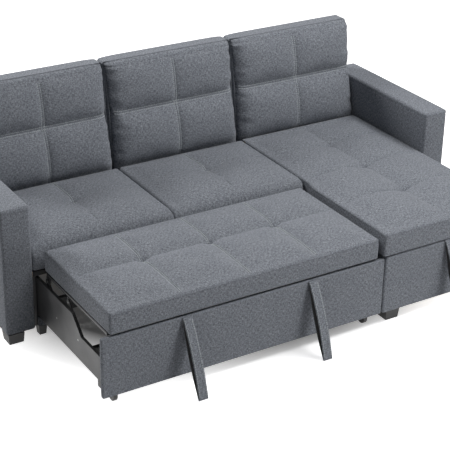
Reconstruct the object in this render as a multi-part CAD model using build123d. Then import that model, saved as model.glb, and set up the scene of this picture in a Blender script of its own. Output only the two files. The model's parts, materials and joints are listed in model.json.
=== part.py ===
from build123d import *
import os
import math

os.makedirs("parts", exist_ok=True)

# Overall layout, mm: X across, Y towards the back, Z up, floor at zero
ARM_W = 122
BAY_W = 632
ARM_H = 584
FOOT_H = 44
REAR_Y = 706
HALF_W = ARM_W + 1.5 * BAY_W
X_LEFT = -HALF_W + ARM_W
X_MID = X_LEFT + BAY_W
X_CHAISE = X_MID + BAY_W
X_RIGHT = X_CHAISE + BAY_W

# Seat
SEAT_FRONT = 0
SEAT_REAR = 518
SEAT_TOP = 408
SEAT_CROWN = 10
SEAT_FRAME_Z = 274
SEAT_FRAME_T = 20
WEB_T = 2
WEB_W = 50
SEAT_Z = SEAT_FRAME_Z + SEAT_FRAME_T + WEB_T
RAIL_W = 60

# Back
BACK_T = 38
BACK_COVER_T = 4
SEAT_RAIL_H = 42
BACK_FRAME_TOP = 826
TOP_PAD_H = 22
BACK_TOP = BACK_FRAME_TOP + TOP_PAD_H
BACK_SEAT_Y = 527
BACK_TOP_Y = 616
BACK_SEAM_Z = 628
BACK_BULGE = 20
BACK_FRAME_Y = REAR_Y - BACK_COVER_T - BACK_T
BACK_REST_Y = BACK_FRAME_Y - WEB_T
CUSHION_GAP = 3
END_DRAW = 12
TOP_PAD_ROUND = 12
BACK_WEB_FIRST = 90
BACK_WEB_PITCH = 85
BACK_WEB_INSET = 12

# Arms
ARM_PAD = 10
ARM_ROUND = 16
ARM_MEMBER = 70

# Bay for the bed, with the guide rails its rollers run on
WALL_T = 18
GUIDE_W = 38
GUIDE_H = 38
GUIDE_FRONT = 10
GUIDE_Z = FOOT_H + GUIDE_H
FOOT_W = 68
RAIL_FOOT_W = 36

# Bed drawer
BED_X = (X_LEFT + X_CHAISE) / 2
BED_FRONT = -578
PANEL_T = 20
PANEL_TOP = 295
PANEL_SIDE_GAP = 5
SIDE_T = 12
SIDE_GAP = 2
SIDE_Z = 88
SIDE_LOW = 195
SIDE_HIGH = 262
SLOPE_FOOT = -374
SLOPE_TOP = -300
SIDE_REAR = 84
CROSS_W = 20
CROSS_H = 60
CROSS_FRONT = -396
CROSS_REAR = 8
SILL_D = 52
SILL_T = 28
SIDE_OUT = BAY_W - WALL_T - SIDE_GAP
SIDE_IN = SIDE_OUT - SIDE_T

# Bed cushion and deck
BED_Z = 302
BED_TOP = 393
BED_CROWN = 10
BED_SIDE_GAP = 7
BED_NOSE = -576
BED_REAR = -20
DECK_T = 12
DECK_FRONT = -550
DECK_REAR = -36
DECK_SIDE_GAP = 8

# Swing links that carry the bed deck
LINK_R = 147
LINK_ANGLE = 45
LINK_T = 5
LINK_W = 26
PIN_R = 4
PIN_GAP = 0.08
OPEN_GAP = 0.5
PIVOT_DROP = 16
REAR_PIVOT_Y = -160
FRONT_PIVOT_Y = -346
EAR_T = 4
EAR_GAP = 0.5
EAR_R = 14
EAR_W = 36
EAR_FOOT = 30
EAR_FOOT_T = 3

# Castors and rollers
CASTOR_R = 25
CASTOR_W = 18
CASTOR_INSET = 34
CASTOR_Y = -534
AXLE_R = 3
AXLE_GAP = 0.08
AXLE_OVER = 2
FORK_T = 2.5
FORK_GAP = 1
FORK_L = 40
FORK_TOP = 36
FORK_TOE = 14
FORK_LOW = 8
ROLLER_R = 19
ROLLER_W = 12
ROLLER_Y = 64
ROLLER_GAP = 0.3

# Chaise
CHAISE_FRONT = -582
CHAISE_PANEL_T = 20
BOX_TOP = 300
LID_LIFT = 3
LID_BOARD_T = 12
LID_TOP = 403
LID_CROWN = 9
HINGE_Y = 508
HINGE_Z = 396
HINGE_R = 4.5
HINGE_PIN_R = 2
LEAF_T = 2
HINGE_L = 81
LEAF_H = 44
LEAF_GAP = 0.1
KNUCKLE_GAP = 0.3
HINGE_FIT = 0.05
REAR_BOARD_T = 12
BULKHEAD_T = 14
FLOOR_Z = 64
FLOOR_T = 12
SHELF_T = 16
LID_Z = BOX_TOP + LID_LIFT
LID_REAR_FACE = HINGE_Y - LEAF_T
BULK_FACE = HINGE_Y + LEAF_T
BOARD_TOP = HINGE_Z - HINGE_R - 3.5

# Pull straps
STRAP_W = 40
STRAP_T = 2.5
STRAP_OPEN = 16
STRAP_REACH = 706
STRAP_OFFSET = 279

# Bolts that join the two units
BOLT_R = 4
BOLT_HEAD_R = 8
BOLT_HEAD_T = 6
BOLT_GAP = 0.5
BOLT_OVER = 12
NUT_T = 8


def block(x0, x1, y0, y1, z0, z1):
    """A straight board between two corners."""
    made = Box(x1 - x0, y1 - y0, z1 - z0)
    return Pos((x0 + x1) / 2, (y0 + y1) / 2, (z0 + z1) / 2) * made


def side_plate(outline, x0, x1):
    """A plate cut to an outline of (y, z) points, standing across X."""
    face = make_face(Polyline(*outline, close=True))
    return Pos(x0, 0, 0) * extrude(Plane.YZ * face, amount=x1 - x0)


def rod(x0, x1, y, z, radius):
    """A round bar along X."""
    turned = Plane((x0, y, z), x_dir=(0, 1, 0), z_dir=(1, 0, 0))
    return extrude(turned * Circle(radius), amount=x1 - x0)


def across_bed(piece):
    """The same piece on the other side of the bed."""
    return mirror(piece, about=Plane((BED_X, 0, 0), x_dir=(0, 1, 0), z_dir=(1, 0, 0)))


def save(name, *solids):
    """One node: a single solid, or a group of like solids."""
    flat = []
    for piece in solids:
        flat.extend(piece.solids())
    node = flat[0] if len(flat) == 1 else Compound(children=flat)
    export_step(node, "parts/" + name + ".step")


# Soft forms: lofts through sections of lines and shallow arcs
def pad_section(x, front, rear, low, top, nose, tuck, rises, dip):
    """Section of a lying cushion: flat below, bulged ends, one arc per sewn panel on top."""
    y0 = front + tuck
    y1 = rear - tuck
    mid = (low + top) / 2
    edges = [Line((x, front + nose, low), (x, rear - tuck, low))]
    edges.append(ThreePointArc((x, rear - tuck, low), (x, rear, mid), (x, y1, top)))
    step = (y1 - y0) / len(rises)
    for i, rise in enumerate(rises):
        a = y1 - i * step
        b = a - step
        za = top if i == 0 else top - dip
        zb = top if i == len(rises) - 1 else top - dip
        edges.append(ThreePointArc((x, a, za), (x, (a + b) / 2, (za + zb) / 2 + rise), (x, b, zb)))
    edges.append(ThreePointArc((x, y0, top), (x, front, mid), (x, front + nose, low)))
    return Wire(edges)


def stations(x0, x1, panels):
    """Even sections across a cushion: place, share drawn in at the ends, and swell between seams."""
    count = panels * 4
    drawn = {0: 1.0, 1: 0.22, count - 1: 0.22, count: 1.0}
    spots = []
    for i in range(count + 1):
        swell = math.sin(math.pi * i / 4) ** 2
        spots.append((x0 + (x1 - x0) * i / count, drawn.get(i, 0), swell))
    return spots


def pad(x0, x1, front, rear, low, top, nose, tuck, crown, panels_x, panels_y, seam):
    """A lying cushion with crowned sewn panels and drawn-in ends."""
    wires = []
    for x, drawn, swell in stations(x0, x1, panels_x):
        draw = END_DRAW * drawn
        pull = seam * (1 - 0.6 * swell) * (1 - drawn)
        rises = [crown * (0.25 + 0.75 * swell)] * panels_y
        edge = top - draw * 0.7 - seam * 0.5 * (1 - swell) * (1 - drawn)
        wires.append(pad_section(x, front + draw, rear - draw, low, edge, nose, tuck, rises, pull))
    return Solid.make_loft(wires)


def back_section(x, draw, bulge, sunk):
    """Section of a back cushion: two bulged sewn panels above the seat, rounded top."""
    foot = (x, BACK_SEAT_Y + 6 + draw, SEAT_Z)
    sill = (x, BACK_SEAT_Y + draw, SEAT_TOP + 4)
    mid_y = BACK_SEAT_Y + (BACK_TOP_Y - BACK_SEAT_Y) * 0.52
    seam = (x, mid_y + draw * 0.6 + sunk, BACK_SEAM_Z)
    brow = (x, BACK_TOP_Y - 4 + draw * 0.5, BACK_TOP - 24 - draw * 0.4)
    rear = BACK_REST_Y
    crest = (x, rear - 22, BACK_TOP - draw * 0.7)
    heel = (x, rear, BACK_TOP - 16 - draw * 0.7)
    toe = (x, rear, SEAT_Z)
    low_mid = (x, (sill[1] + seam[1]) / 2 - bulge, (sill[2] + seam[2]) / 2)
    high_mid = (x, (seam[1] + brow[1]) / 2 - bulge, (seam[2] + brow[2]) / 2)
    crown_mid = (x, (brow[1] + crest[1]) / 2 - 4, (brow[2] + crest[2]) / 2 + 6)
    back_mid = (x, (crest[1] + heel[1]) / 2 + 3, (crest[2] + heel[2]) / 2 + 3)
    edges = [Line(toe, foot), Line(foot, sill), ThreePointArc(sill, low_mid, seam)]
    edges.append(ThreePointArc(seam, high_mid, brow))
    edges.append(ThreePointArc(brow, crown_mid, crest))
    edges.append(ThreePointArc(crest, back_mid, heel))
    edges.append(Line(heel, toe))
    return Wire(edges)


def back_cushion(x0, x1):
    """A wedge back cushion with a sewn cross on its face."""
    wires = []
    for x, drawn, swell in stations(x0, x1, 2):
        draw = (END_DRAW + 4) * drawn
        sunk = 2 + 5 * (1 - swell) * (1 - drawn)
        wires.append(back_section(x, draw, 4 + (BACK_BULGE - 4) * swell, sunk))
    return Solid.make_loft(wires)


def strap(x, root, tail):
    """A folded pull strap: a fixed tail, then a loop that leans out to the floor."""
    tip = (-STRAP_REACH, STRAP_T)
    run_y = (tip[0] - root[0])
    run_z = (tip[1] - root[1])
    length = math.hypot(run_y, run_z)
    along = (run_y / length, run_z / length)
    out = (along[1], -along[0])
    mid = ((tip[0] + root[0]) / 2, (tip[1] + root[1]) / 2)
    lens = []
    for spread, shrink in ((STRAP_OPEN / 2 + STRAP_T, 0), (STRAP_OPEN / 2, STRAP_T * 5)):
        a = (root[0] + along[0] * shrink, root[1] + along[1] * shrink)
        b = (tip[0] - along[0] * shrink, tip[1] - along[1] * shrink)
        one = ThreePointArc(a, (mid[0] + out[0] * spread, mid[1] + out[1] * spread), b)
        two = ThreePointArc(b, (mid[0] - out[0] * spread, mid[1] - out[1] * spread), a)
        lens.append(extrude(Plane.YZ * make_face([one.edge(), two.edge()]), amount=STRAP_W))
    fixed = extrude(Plane.YZ * make_face(Polyline(*tail, close=True)), amount=STRAP_W)
    solid = lens[0] - lens[1] + fixed
    return Pos(x - STRAP_W / 2, 0, 0) * solid


# Arms: a timber frame inside an upholstered cover
def arm(x0, x1):
    """The frame and the cover of one arm."""
    frame = block(x0 + ARM_PAD, x1 - ARM_PAD, ARM_PAD, REAR_Y - ARM_PAD, FOOT_H, ARM_H - ARM_PAD)
    window = block(x0, x1, ARM_PAD + ARM_MEMBER, REAR_Y - ARM_PAD - ARM_MEMBER, FOOT_H + ARM_MEMBER,
                   ARM_H - ARM_PAD - ARM_MEMBER)
    cover = block(x0, x1, 0, REAR_Y, FOOT_H, ARM_H)
    upper = cover.edges().group_by(Axis.Z)[-1]
    cover = fillet(upper + cover.edges().filter_by(Axis.Z), ARM_ROUND)
    return frame - window, cover - frame


def foot(x, y, width, depth):
    """A moulded foot, drawn in towards the floor."""
    plate = Pos(x, y, FOOT_H) * Rectangle(width, depth)
    return extrude(plate, amount=-FOOT_H, taper=5)


left_frame, left_cover = arm(-HALF_W, X_LEFT)
right_frame, right_cover = arm(X_RIGHT, HALF_W)
save("left_arm_frame", left_frame)
save("left_arm_cover", left_cover)
save("right_arm_frame", right_frame)
save("right_arm_cover", right_cover)

foot_x = HALF_W - FOOT_W / 2 - 6
foot_rows = (FOOT_W / 2 + 2, REAR_Y - FOOT_W / 2 - 14)
save("arm_feet", *[foot(side * foot_x, y, FOOT_W, FOOT_W) for side in (-1, 1) for y in foot_rows])

# Bay walls and guide rails
wall = block(X_LEFT, X_LEFT + WALL_T, GUIDE_FRONT + 14, BACK_FRAME_Y, FOOT_H, SEAT_FRAME_Z)
guide_in = X_LEFT + WALL_T + GUIDE_W
guide = block(X_LEFT + WALL_T, guide_in, GUIDE_FRONT, BACK_FRAME_Y, FOOT_H, GUIDE_Z)
save("bay_left_wall", wall)
save("bay_right_wall", across_bed(wall))
save("guide_rail_left", guide)
save("guide_rail_right", across_bed(guide))
rail_x = X_LEFT + WALL_T + GUIDE_W / 2
rail_feet = [foot(rail_x, y, RAIL_FOOT_W, RAIL_FOOT_W) for y in (GUIDE_FRONT + 24, BACK_FRAME_Y - 40)]
save("rail_feet", *rail_feet, *[across_bed(piece) for piece in rail_feet])

# Seat frame, webbing and seat cushions
frame = block(X_LEFT, X_CHAISE, SEAT_FRONT + 8, BACK_FRAME_Y, SEAT_FRAME_Z, SEAT_Z - WEB_T)
inner_front = SEAT_FRONT + 8 + RAIL_W
inner_rear = BACK_FRAME_Y - RAIL_W - 80
for a, b in ((X_LEFT + RAIL_W, X_MID - RAIL_W / 2), (X_MID + RAIL_W / 2, X_CHAISE - RAIL_W)):
    frame -= block(a, b, inner_front, inner_rear, SEAT_FRAME_Z, SEAT_Z)
save("seat_frame", frame)
webs = []
for start in (X_LEFT, X_MID):
    for i in range(6):
        x = start + (i + 0.75) * BAY_W / 6.5
        x0 = x - WEB_W / 2
        webs.append(block(x0, x0 + WEB_W, SEAT_FRONT + 30, inner_rear + 50, SEAT_Z - WEB_T, SEAT_Z))
save("seat_webbing", *webs)
for name, start in (("seat_cushion_left", X_LEFT), ("seat_cushion_middle", X_MID)):
    a = start + CUSHION_GAP
    b = start + BAY_W - CUSHION_GAP
    save(name, pad(a, b, SEAT_FRONT, SEAT_REAR, SEAT_Z, SEAT_TOP, 24, 20, SEAT_CROWN, 2, 1, 5))

# Back frames, covers, webbing and cushions
low_window = (FOOT_H + RAIL_W, SEAT_Z - SEAT_RAIL_H)
high_window = (SEAT_Z + RAIL_W, BACK_FRAME_TOP - RAIL_W)


def back_frame(x0, x1, posts):
    """A timber frame with windows between its posts and rails."""
    made = block(x0, x1, BACK_FRAME_Y, BACK_FRAME_Y + BACK_T, FOOT_H, BACK_FRAME_TOP)
    edges_x = [x0 + RAIL_W] + posts + [x1 - RAIL_W]
    for i in range(len(edges_x) - 1):
        a = edges_x[i] + (RAIL_W / 2 if i else 0)
        b = edges_x[i + 1] - (RAIL_W / 2 if i < len(edges_x) - 2 else 0)
        for low, high in (low_window, high_window):
            made -= block(a, b, BACK_FRAME_Y, BACK_FRAME_Y + BACK_T, low, high)
    return made


bolt_y = BACK_FRAME_Y + BACK_T / 2
bolt_rows = [low_window[0] + 0.3 * (low_window[1] - low_window[0])]
bolt_rows += [high_window[0] + share * (high_window[1] - high_window[0]) for share in (0.3, 0.84)]
bolt_from = X_CHAISE - RAIL_W
bolt_to = X_CHAISE + RAIL_W
sofa_back = back_frame(X_LEFT, X_CHAISE, [X_MID])
chaise_back = back_frame(X_CHAISE, X_RIGHT, [])
bolts = []
nuts = []
for z in bolt_rows:
    hole = rod(bolt_from, bolt_to, bolt_y, z, BOLT_R + BOLT_GAP)
    sofa_back -= hole
    chaise_back -= hole
    shank = rod(bolt_from - BOLT_OVER, bolt_to, bolt_y, z, BOLT_R)
    bolts.append(shank + rod(bolt_to, bolt_to + BOLT_HEAD_T, bolt_y, z, BOLT_HEAD_R))
    nut = rod(bolt_from - NUT_T, bolt_from, bolt_y, z, BOLT_HEAD_R)
    nuts.append(nut - rod(bolt_from - NUT_T, bolt_from, bolt_y, z, BOLT_R))
save("sofa_back_frame", sofa_back)
save("chaise_back_frame", chaise_back)
save("unit_bolts", *bolts)
save("unit_nuts", *nuts)
for name, a, b in (("sofa_back_cover", X_LEFT, X_CHAISE), ("chaise_back_cover", X_CHAISE, X_RIGHT)):
    save(name, block(a, b, REAR_Y - BACK_COVER_T, REAR_Y, FOOT_H, BACK_FRAME_TOP))
bands = []
for start in (X_LEFT, X_MID, X_CHAISE):
    for i in range(5):
        z = SEAT_Z + BACK_WEB_FIRST + i * BACK_WEB_PITCH - WEB_W / 2
        a = start + BACK_WEB_INSET
        bands.append(block(a, start + BAY_W - BACK_WEB_INSET, BACK_REST_Y, BACK_FRAME_Y, z, z + WEB_W))
save("back_webbing", *bands)
for side, start in (("left", X_LEFT), ("middle", X_MID), ("right", X_CHAISE)):
    save("back_cushion_" + side, back_cushion(start + CUSHION_GAP, start + BAY_W - CUSHION_GAP))
top_pads = []
for start in (X_LEFT, X_MID, X_CHAISE):
    a = start + CUSHION_GAP
    bar = block(a, start + BAY_W - CUSHION_GAP, BACK_FRAME_Y, REAR_Y, BACK_FRAME_TOP, BACK_TOP)
    upper_rear = bar.edges().filter_by(Axis.X).group_by(Axis.Z)[-1].group_by(Axis.Y)[-1]
    top_pads.append(fillet(upper_rear, TOP_PAD_ROUND))
save("back_top_pads", *top_pads)

# Chaise box with a storage floor
box_rear = BACK_FRAME_Y
front_y = CHAISE_FRONT + CHAISE_PANEL_T
wall_line = [(front_y, FOOT_H), (box_rear, FOOT_H), (box_rear, SEAT_Z), (BULK_FACE, SEAT_Z)]
wall_line += [(BULK_FACE, BOX_TOP), (front_y, BOX_TOP)]
chaise_left = side_plate(wall_line, X_CHAISE, X_CHAISE + WALL_T)
chaise_right = side_plate(wall_line, X_RIGHT - WALL_T, X_RIGHT)
panel = block(X_CHAISE, X_RIGHT, CHAISE_FRONT, front_y, FOOT_H, BOX_TOP)
panel = fillet(panel.edges().filter_by(Axis.Z).group_by(Axis.Y)[0], 10)
save("chaise_front_panel", panel)
save("chaise_left_wall", chaise_left)
save("chaise_right_wall", chaise_right)
in_left = X_CHAISE + WALL_T
in_right = X_RIGHT - WALL_T
bulk_rear = BULK_FACE + BULKHEAD_T
save("chaise_bulkhead", block(in_left, in_right, BULK_FACE, bulk_rear, FOOT_H, BOARD_TOP))
save("chaise_floor", block(in_left, in_right, front_y, BULK_FACE, FLOOR_Z, FLOOR_Z + FLOOR_T))
save("chaise_rear_shelf", block(in_left, in_right, bulk_rear, box_rear, SEAT_Z - SHELF_T, SEAT_Z))
chaise_feet = []
for y, inset in ((CHAISE_FRONT + 42, 58), (BULK_FACE - 60, 36)):
    chaise_feet += [foot(x, y, FOOT_W, FOOT_W) for x in (X_CHAISE + inset, X_RIGHT - inset)]
save("chaise_feet", *chaise_feet)

# Chaise lid: board, rear board, cushion, hinges
lid_left = in_left + 6
lid_right = in_right - 6
lid_board = block(lid_left, lid_right, front_y + 10, LID_REAR_FACE, LID_Z - LID_BOARD_T, LID_Z)
save("chaise_lid_board", lid_board)
rear_board = block(lid_left, lid_right, LID_REAR_FACE - REAR_BOARD_T, LID_REAR_FACE, LID_Z, BOARD_TOP)
save("chaise_lid_rear_board", rear_board)
cushion_rear = LID_REAR_FACE - REAR_BOARD_T - 1
a = X_CHAISE + CUSHION_GAP
b = X_RIGHT - CUSHION_GAP
save("chaise_cushion", pad(a, b, CHAISE_FRONT, cushion_rear, LID_Z, LID_TOP, 14, 12, LID_CROWN, 2, 4, 5))
fixed_leaves = []
moving_leaves = []
hinge_pins = []
third = HINGE_L / 3
for x in (X_CHAISE + BAY_W * 0.22, X_CHAISE + BAY_W * 0.78):
    leaf_low = HINGE_Z - LEAF_H
    leaf_top = HINGE_Z - HINGE_R - 0.4
    leaf_in = HINGE_Y - LEAF_GAP
    leaf_out = HINGE_Y + LEAF_GAP
    bore = rod(x - HINGE_L, x + HINGE_L, HINGE_Y, HINGE_Z, HINGE_PIN_R + HINGE_FIT)
    fixed = block(x - HINGE_L / 2, x + HINGE_L / 2, leaf_out, BULK_FACE, leaf_low, leaf_top)
    knuckle = third - KNUCKLE_GAP
    for a in (x - HINGE_L / 2, x + HINGE_L / 2 - knuckle):
        fixed += block(a, a + knuckle, leaf_out, BULK_FACE, leaf_top, HINGE_Z)
        fixed += rod(a, a + knuckle, HINGE_Y, HINGE_Z, HINGE_R)
    moving = block(x - HINGE_L / 2, x + HINGE_L / 2, LID_REAR_FACE, leaf_in, leaf_low, leaf_top)
    moving += block(x - third / 2, x + third / 2, LID_REAR_FACE, leaf_in, leaf_top, HINGE_Z)
    moving += rod(x - third / 2, x + third / 2, HINGE_Y, HINGE_Z, HINGE_R)
    bore_fixed = rod(x - HINGE_L, x + HINGE_L, HINGE_Y, HINGE_Z, HINGE_PIN_R)
    fixed_leaves.append(fixed - bore_fixed)
    moving_leaves.append(moving - bore)
    hinge_pins.append(rod(x - HINGE_L / 2, x + HINGE_L / 2, HINGE_Y, HINGE_Z, HINGE_PIN_R))
save("lid_hinge_fixed_leaves", *fixed_leaves)
save("lid_hinge_moving_leaves", *moving_leaves)
save("lid_hinge_pins", *hinge_pins)
chaise_x = (X_CHAISE + X_RIGHT) / 2
lid_root = (CHAISE_FRONT - 1, LID_Z - STRAP_T / 2)
lid_tail = [(lid_root[0] - 3, LID_Z), (lid_root[0] - 3, LID_Z - STRAP_T)]
lid_tail += [(front_y + 10, LID_Z - STRAP_T), (front_y + 10, LID_Z)]
lid_strap = strap(chaise_x, lid_root, lid_tail)
save("lid_pull_strap", lid_strap)

# Bed drawer: front panel, sill, side boards, cross rails
panel_half = BAY_W - PANEL_SIDE_GAP
panel_in = BED_FRONT + PANEL_T
bed_panel = block(BED_X - panel_half, BED_X + panel_half, BED_FRONT, panel_in, FOOT_H, PANEL_TOP)
bed_panel = fillet(bed_panel.edges().group_by(Axis.Y)[0], 5)
save("bed_front_panel", bed_panel)
outline = [(panel_in, SIDE_Z), (SIDE_REAR, SIDE_Z), (SIDE_REAR, SIDE_HIGH)]
outline += [(SLOPE_TOP, SIDE_HIGH), (SLOPE_FOOT, SIDE_LOW), (panel_in, SIDE_LOW)]
pin_z = BED_Z - DECK_T - PIVOT_DROP - LINK_R * math.sin(math.radians(LINK_ANGLE))
roller_z = GUIDE_Z + ROLLER_R + ROLLER_GAP
side_board = side_plate(outline, BED_X - SIDE_OUT, BED_X - SIDE_IN)
for y in (REAR_PIVOT_Y, FRONT_PIVOT_Y):
    side_board -= rod(BED_X - SIDE_OUT, BED_X - SIDE_IN, y, pin_z, PIN_R)
side_board -= rod(BED_X - SIDE_OUT, BED_X - SIDE_IN, ROLLER_Y, roller_z, AXLE_R)
save("bed_side_board_left", side_board)
save("bed_side_board_right", across_bed(side_board))
cross = []
for y in (CROSS_FRONT, CROSS_REAR):
    cross.append(block(BED_X - SIDE_IN, BED_X + SIDE_IN, y, y + CROSS_W, SIDE_Z, SIDE_Z + CROSS_H))
save("bed_cross_rails", *cross)
sill = block(BED_X - SIDE_OUT, BED_X + SIDE_OUT, panel_in, panel_in + SILL_D, SIDE_Z - SILL_T, SIDE_Z)
save("bed_front_sill", sill)

# Castors under the sill, rollers on the guide rails
forks = []
castor_axles = []
castor_wheels = []
plate_low = SIDE_Z - SILL_T - FORK_T
for side in (-1, 1):
    x = BED_X + side * (SIDE_IN - CASTOR_INSET)
    inside = CASTOR_W / 2 + FORK_GAP
    cheek_out = inside + FORK_T
    front = CASTOR_Y - FORK_L / 2
    fork = block(x - cheek_out, x + cheek_out, front, front + FORK_L, plate_low, plate_low + FORK_T)
    cheek = [(CASTOR_Y - FORK_TOP / 2, plate_low), (CASTOR_Y + FORK_TOP / 2, plate_low)]
    toe_z = CASTOR_R - FORK_LOW
    cheek += [(CASTOR_Y + FORK_TOE / 2, toe_z), (CASTOR_Y - FORK_TOE / 2, toe_z)]
    for a in (x - cheek_out, x + inside):
        fork += side_plate(cheek, a, a + FORK_T)
    forks.append(fork - rod(x - cheek_out, x + cheek_out, CASTOR_Y, CASTOR_R, AXLE_R))
    over = cheek_out + AXLE_OVER
    castor_axles.append(rod(x - over, x + over, CASTOR_Y, CASTOR_R, AXLE_R))
    wheel = rod(x - CASTOR_W / 2, x + CASTOR_W / 2, CASTOR_Y, CASTOR_R, CASTOR_R)
    wheel = fillet(wheel.edges(), 3)
    castor_wheels.append(wheel - rod(x - over, x + over, CASTOR_Y, CASTOR_R, AXLE_R + AXLE_GAP))
save("castor_forks", *forks)
save("castor_axles", *castor_axles)
save("front_castor_left", castor_wheels[0])
save("front_castor_right", castor_wheels[1])
roller_in = BED_X - SIDE_IN + 1
roller = rod(roller_in, roller_in + ROLLER_W, ROLLER_Y, roller_z, ROLLER_R)
roller = fillet(roller.edges(), 2)
roller -= rod(roller_in, roller_in + ROLLER_W, ROLLER_Y, roller_z, AXLE_R + AXLE_GAP)
roller_axle = rod(BED_X - SIDE_OUT, roller_in + ROLLER_W + AXLE_OVER, ROLLER_Y, roller_z, AXLE_R)
save("rear_roller_left", roller)
save("rear_roller_right", across_bed(roller))
save("roller_axles", roller_axle, across_bed(roller_axle))

# Swing links, their pins and the deck brackets
swing_y = LINK_R * math.cos(math.radians(LINK_ANGLE))
swing_z = LINK_R * math.sin(math.radians(LINK_ANGLE))
link_x = BED_X - SIDE_IN + EAR_GAP
ear_x = link_x + LINK_T + EAR_GAP
deck_low = BED_Z - DECK_T


def link(pivot_y, upper_gap):
    """A flat steel link with a bore at each end."""
    top = (pivot_y + swing_y, pin_z + swing_z)
    ux = -swing_z / LINK_R * LINK_W / 2
    uz = swing_y / LINK_R * LINK_W / 2
    line = [(pivot_y + ux, pin_z + uz), (pivot_y - ux, pin_z - uz)]
    line += [(top[0] - ux, top[1] - uz), (top[0] + ux, top[1] + uz)]
    bar = side_plate(line, link_x, link_x + LINK_T)
    bar += rod(link_x, link_x + LINK_T, pivot_y, pin_z, LINK_W / 2)
    bar += rod(link_x, link_x + LINK_T, top[0], top[1], LINK_W / 2)
    bar -= rod(link_x, link_x + LINK_T, pivot_y, pin_z, PIN_R + PIN_GAP)
    return bar - rod(link_x, link_x + LINK_T, top[0], top[1], PIN_R + upper_gap)


rear_link = link(REAR_PIVOT_Y, PIN_GAP)
front_link = link(FRONT_PIVOT_Y, OPEN_GAP)
save("rear_lift_links", rear_link, across_bed(rear_link))
save("front_lift_links", front_link, across_bed(front_link))
lower_pins = []
upper_pins = []
ears = []
for y in (REAR_PIVOT_Y, FRONT_PIVOT_Y):
    pin = rod(BED_X - SIDE_OUT, link_x + LINK_T, y, pin_z, PIN_R)
    lower_pins.append(pin)
    top_y = y + swing_y
    top_z = pin_z + swing_z
    ear_y = top_y - EAR_W / 2
    ear = block(ear_x, ear_x + EAR_T, ear_y, ear_y + EAR_W, top_z, deck_low)
    ear += block(ear_x, ear_x + EAR_FOOT, ear_y, ear_y + EAR_W, deck_low - EAR_FOOT_T, deck_low)
    ear += rod(ear_x, ear_x + EAR_T, top_y, top_z, EAR_R)
    ears.append(ear - rod(ear_x, ear_x + EAR_T, top_y, top_z, PIN_R))
    upper_pins.append(rod(link_x, ear_x + EAR_T, top_y, top_z, PIN_R))
save("lift_pins_lower", *lower_pins, *[across_bed(piece) for piece in lower_pins])
save("lift_pins_upper", *upper_pins, *[across_bed(piece) for piece in upper_pins])
save("bed_deck_brackets", *ears, *[across_bed(piece) for piece in ears])

# Bed deck, cushion and pull straps
deck_half = SIDE_IN - DECK_SIDE_GAP
save("bed_deck", block(BED_X - deck_half, BED_X + deck_half, DECK_FRONT, DECK_REAR, deck_low, BED_Z))
a = BED_X - SIDE_IN + BED_SIDE_GAP
b = BED_X + SIDE_IN - BED_SIDE_GAP
save("bed_cushion", pad(a, b, BED_NOSE, BED_REAR, BED_Z, BED_TOP, 30, 12, BED_CROWN, 4, 2, 5))
strap_root = (BED_FRONT - STRAP_T / 2, PANEL_TOP - 2)
tail_top = PANEL_TOP - 3
tail_low = tail_top - STRAP_W
strap_tail = [(BED_FRONT, tail_top), (BED_FRONT - STRAP_T, tail_top)]
strap_tail += [(BED_FRONT - STRAP_T, tail_low), (BED_FRONT, tail_low)]
for name, side in (("bed_pull_strap_left", -1), ("bed_pull_strap_right", 1)):
    save(name, strap(BED_X + side * STRAP_OFFSET, strap_root, strap_tail))
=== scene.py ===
"""Dresses the corner sofa bed: upholstery, stitching, finishes, floor, light and camera."""
import json
import math
import bmesh
import bpy
import numpy as np
from bpy.props import FloatProperty, FloatVectorProperty, PointerProperty, StringProperty
from mathutils import Matrix, Vector
from mathutils.bvhtree import BVHTree


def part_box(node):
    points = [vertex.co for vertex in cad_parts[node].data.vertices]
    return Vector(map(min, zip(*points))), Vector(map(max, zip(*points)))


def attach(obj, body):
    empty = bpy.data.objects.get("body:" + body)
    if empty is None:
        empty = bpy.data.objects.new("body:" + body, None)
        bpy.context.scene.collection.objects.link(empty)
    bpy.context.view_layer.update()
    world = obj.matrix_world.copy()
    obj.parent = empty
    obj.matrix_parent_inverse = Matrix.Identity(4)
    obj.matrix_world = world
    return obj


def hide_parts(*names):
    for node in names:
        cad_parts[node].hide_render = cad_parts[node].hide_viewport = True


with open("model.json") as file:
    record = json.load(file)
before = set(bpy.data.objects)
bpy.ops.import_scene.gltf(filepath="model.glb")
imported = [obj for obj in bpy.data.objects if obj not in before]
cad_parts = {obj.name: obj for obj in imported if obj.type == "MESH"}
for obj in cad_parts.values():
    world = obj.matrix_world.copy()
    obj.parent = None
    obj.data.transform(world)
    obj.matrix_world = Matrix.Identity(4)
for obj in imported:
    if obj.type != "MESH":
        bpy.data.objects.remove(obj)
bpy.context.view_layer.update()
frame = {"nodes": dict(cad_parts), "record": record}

bl_info = {
    "name": "Corner sofa bed dressing",
    "version": (1, 0, 0),
    "blender": (4, 5, 0),
    "location": "View3D > Sidebar > Sofa bed",
    "description": "Upholstery, stitching and finishes for a corner sofa bed",
    "category": "Object",
}


# Sizes and colours that a user may change

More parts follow.
